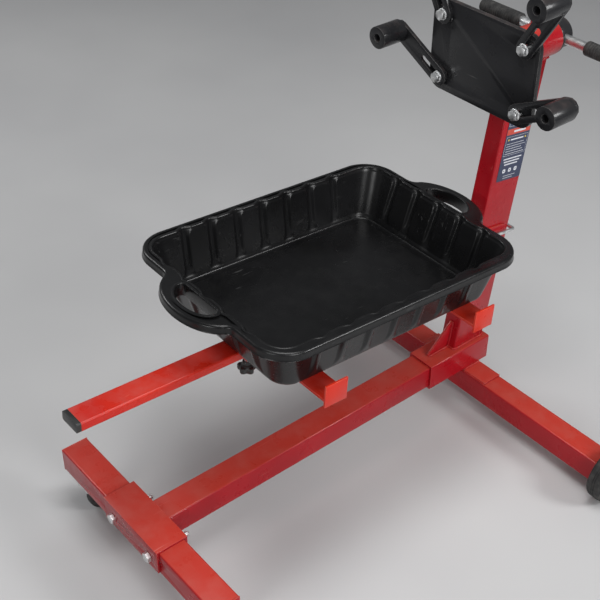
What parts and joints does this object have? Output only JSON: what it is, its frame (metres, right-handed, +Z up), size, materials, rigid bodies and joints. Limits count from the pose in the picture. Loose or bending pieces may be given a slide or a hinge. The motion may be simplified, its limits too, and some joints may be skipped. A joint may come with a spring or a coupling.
{
  "type": "engine stand",
  "caption": "Wheeled red tube frame with a leaning post, a turning mounting head with adjustable arms, and a drip tray on an adjustable carrier",
  "frame": {"origin": "on the floor, under the middle of the bounding box", "axes": "+Z up, +Y from the front casters towards the post, +X to the side with the label"},
  "size_m": [0.9556, 1.1866, 1.0566],
  "materials": {
    "red_paint": "gloss",
    "orange_paint": "gloss",
    "black_paint": "satin",
    "zinc": "bright zinc plate",
    "black_plastic": "gloss",
    "rubber": "matt",
    "label": "satin"
  },
  "bodies": {
    "frame": {"rear_cross_tube": "red_paint", "rear_end_plate_left": "red_paint", "rear_end_plate_right": "red_paint", "rear_axle_left": "zinc", "rear_axle_right": "zinc", "rear_plate": "red_paint", "sleeve": "red_paint", "sleeve_screw": "zinc", "post": "red_paint", "gusset": "red_paint", "post_label": "label", "spine_tube": "red_paint", "saddle": "red_paint", "saddle_bolt_left": "zinc", "saddle_bolt_right": "zinc", "front_cross_tube": "red_paint", "front_end_plate_left": "red_paint", "front_end_plate_right": "red_paint", "head_tube": "red_paint", "caster_plate_left": "zinc", "caster_plate_right": "zinc"},
    "head": {"head_shaft": "black_paint", "flange_plate": "black_paint"},
    "handle": {"turning_handle": "zinc", "handle_grip_left": "rubber", "handle_grip_right": "rubber"},
    "lock_pin": {"lock_pin": "zinc"},
    "carrier": {"tray_bracket": "red_paint", "tray_u_bolt": "zinc", "tray_bar": "orange_paint", "tray_bar_cap": "black_plastic"},
    "tray_arm_front": {"tray_arm_front": "orange_paint"},
    "tray_arm_rear": {"tray_arm_rear": "orange_paint"},
    "tray_knob_front": {"tray_knob_front": "black_plastic"},
    "tray_knob_rear": {"tray_knob_rear": "black_plastic"},
    "drip_tray": {"drip_tray": "black_plastic", "tray_rim": "black_plastic"},
    "rear_wheel_left": {"rear_wheel_left": "rubber"},
    "caster_left": {"caster_fork_left": "zinc", "caster_axle_left": "zinc"},
    "caster_wheel_left": {"caster_wheel_left": "rubber"},
    "rear_wheel_right": {"rear_wheel_right": "rubber"},
    "caster_right": {"caster_fork_right": "zinc", "caster_axle_right": "zinc"},
    "caster_wheel_right": {"caster_wheel_right": "rubber"},
    "arm_bolt_lower_right": {"arm_bolt_lower_right": "zinc"},
    "arm_lower_right": {"arm_lower_right": "black_paint", "finger_lower_right": "black_paint"},
    "arm_bolt_lower_left": {"arm_bolt_lower_left": "zinc"},
    "arm_lower_left": {"arm_lower_left": "black_paint", "finger_lower_left": "black_paint"},
    "arm_bolt_upper_right": {"arm_bolt_upper_right": "zinc"},
    "arm_upper_right": {"arm_upper_right": "black_paint", "finger_upper_right": "black_paint"},
    "arm_bolt_upper_left": {"arm_bolt_upper_left": "zinc"},
    "arm_upper_left": {"arm_upper_left": "black_paint", "finger_upper_left": "black_paint"}
  },
  "joints": [
    {"name": "rear_wheel_left_roll", "type": "hinge", "parent": "frame", "child": "rear_wheel_left", "pos_m": [-0.4445, 0.40433, 0.0625], "axis": [1, 0, 0], "continuous": true},
    {"name": "caster_left_swivel", "type": "hinge", "parent": "frame", "child": "caster_left", "pos_m": [-0.215, -0.47016, 0.09], "axis": [0, 0, 1], "continuous": true},
    {"name": "caster_wheel_left_roll", "type": "hinge", "parent": "caster_left", "child": "caster_wheel_left", "pos_m": [-0.215, -0.44216, 0.0375], "axis": [1, 0, 0], "continuous": true},
    {"name": "rear_wheel_right_roll", "type": "hinge", "parent": "frame", "child": "rear_wheel_right", "pos_m": [0.4445, 0.40433, 0.0625], "axis": [1, 0, 0], "continuous": true},
    {"name": "caster_right_swivel", "type": "hinge", "parent": "frame", "child": "caster_right", "pos_m": [0.215, -0.47016, 0.09], "axis": [0, 0, 1], "continuous": true},
    {"name": "caster_wheel_right_roll", "type": "hinge", "parent": "caster_right", "child": "caster_wheel_right", "pos_m": [0.215, -0.44216, 0.0375], "axis": [1, 0, 0], "continuous": true},
    {"name": "head_turn", "type": "hinge", "parent": "frame", "child": "head", "pos_m": [0, 0.46734, 0.855], "axis": [0, 1, 0], "continuous": true},
    {"name": "lock_pin_pull", "type": "slide", "parent": "frame", "child": "lock_pin", "axis": [0, 0, 1], "range_m": [-0.012, 0.01]},
    {"name": "handle_slide", "type": "slide", "parent": "head", "child": "handle", "axis": [1, 0, 0], "range_m": [-0.045, 0.045]},
    {"name": "arm_lower_right_slot", "type": "slide", "parent": "head", "child": "arm_bolt_lower_right", "axis": [0.8443, 0, -0.5358], "range_m": [-0.013, 0.013]},
    {"name": "arm_lower_right_swing", "type": "hinge", "parent": "arm_bolt_lower_right", "child": "arm_lower_right", "pos_m": [0.104, 0.35734, 0.789], "axis": [0, 1, 0], "range_deg": [-25, 25]},
    {"name": "arm_lower_left_slot", "type": "slide", "parent": "head", "child": "arm_bolt_lower_left", "axis": [-0.8443, 0, -0.5358], "range_m": [-0.013, 0.013]},
    {"name": "arm_lower_left_swing", "type": "hinge", "parent": "arm_bolt_lower_left", "child": "arm_lower_left", "pos_m": [-0.104, 0.35734, 0.789], "axis": [0, 1, 0], "range_deg": [-25, 25]},
    {"name": "arm_upper_right_slot", "type": "slide", "parent": "head", "child": "arm_bolt_upper_right", "axis": [0.8443, 0, 0.5358], "range_m": [-0.013, 0.013]},
    {"name": "arm_upper_right_swing", "type": "hinge", "parent": "arm_bolt_upper_right", "child": "arm_upper_right", "pos_m": [0.104, 0.35734, 0.921], "axis": [0, 1, 0], "range_deg": [-25, 25]},
    {"name": "arm_upper_left_slot", "type": "slide", "parent": "head", "child": "arm_bolt_upper_left", "axis": [-0.8443, 0, 0.5358], "range_m": [-0.013, 0.013]},
    {"name": "arm_upper_left_swing", "type": "hinge", "parent": "arm_bolt_upper_left", "child": "arm_upper_left", "pos_m": [-0.104, 0.35734, 0.921], "axis": [0, 1, 0], "range_deg": [-25, 25]},
    {"name": "carrier_height", "type": "slide", "parent": "frame", "child": "carrier", "axis": [0, 0.1392, 0.9903], "range_m": [-0.1, 0.03]},
    {"name": "tray_arm_front_slide", "type": "slide", "parent": "carrier", "child": "tray_arm_front", "axis": [0, 0.9982, -0.0593], "range_m": [-0.1, 0.06]},
    {"name": "tray_arm_rear_slide", "type": "slide", "parent": "carrier", "child": "tray_arm_rear", "axis": [0, 0.9982, -0.0593], "range_m": [-0.06, 0.06]},
    {"name": "tray_knob_front_turn", "type": "hinge", "parent": "tray_arm_front", "child": "tray_knob_front", "pos_m": [0, -0.21738, 0.40589], "axis": [0, 0.0593, 0.9982], "continuous": true},
    {"name": "tray_knob_rear_turn", "type": "hinge", "parent": "tray_arm_rear", "child": "tray_knob_rear", "pos_m": [0, 0.16146, 0.38338], "axis": [0, 0.0593, 0.9982], "continuous": true},
    {"name": "tray_lift", "type": "slide", "parent": "carrier", "child": "drip_tray", "axis": [0, 0.0593, 0.9982], "range_m": [0, 0.04]}
  ]
}
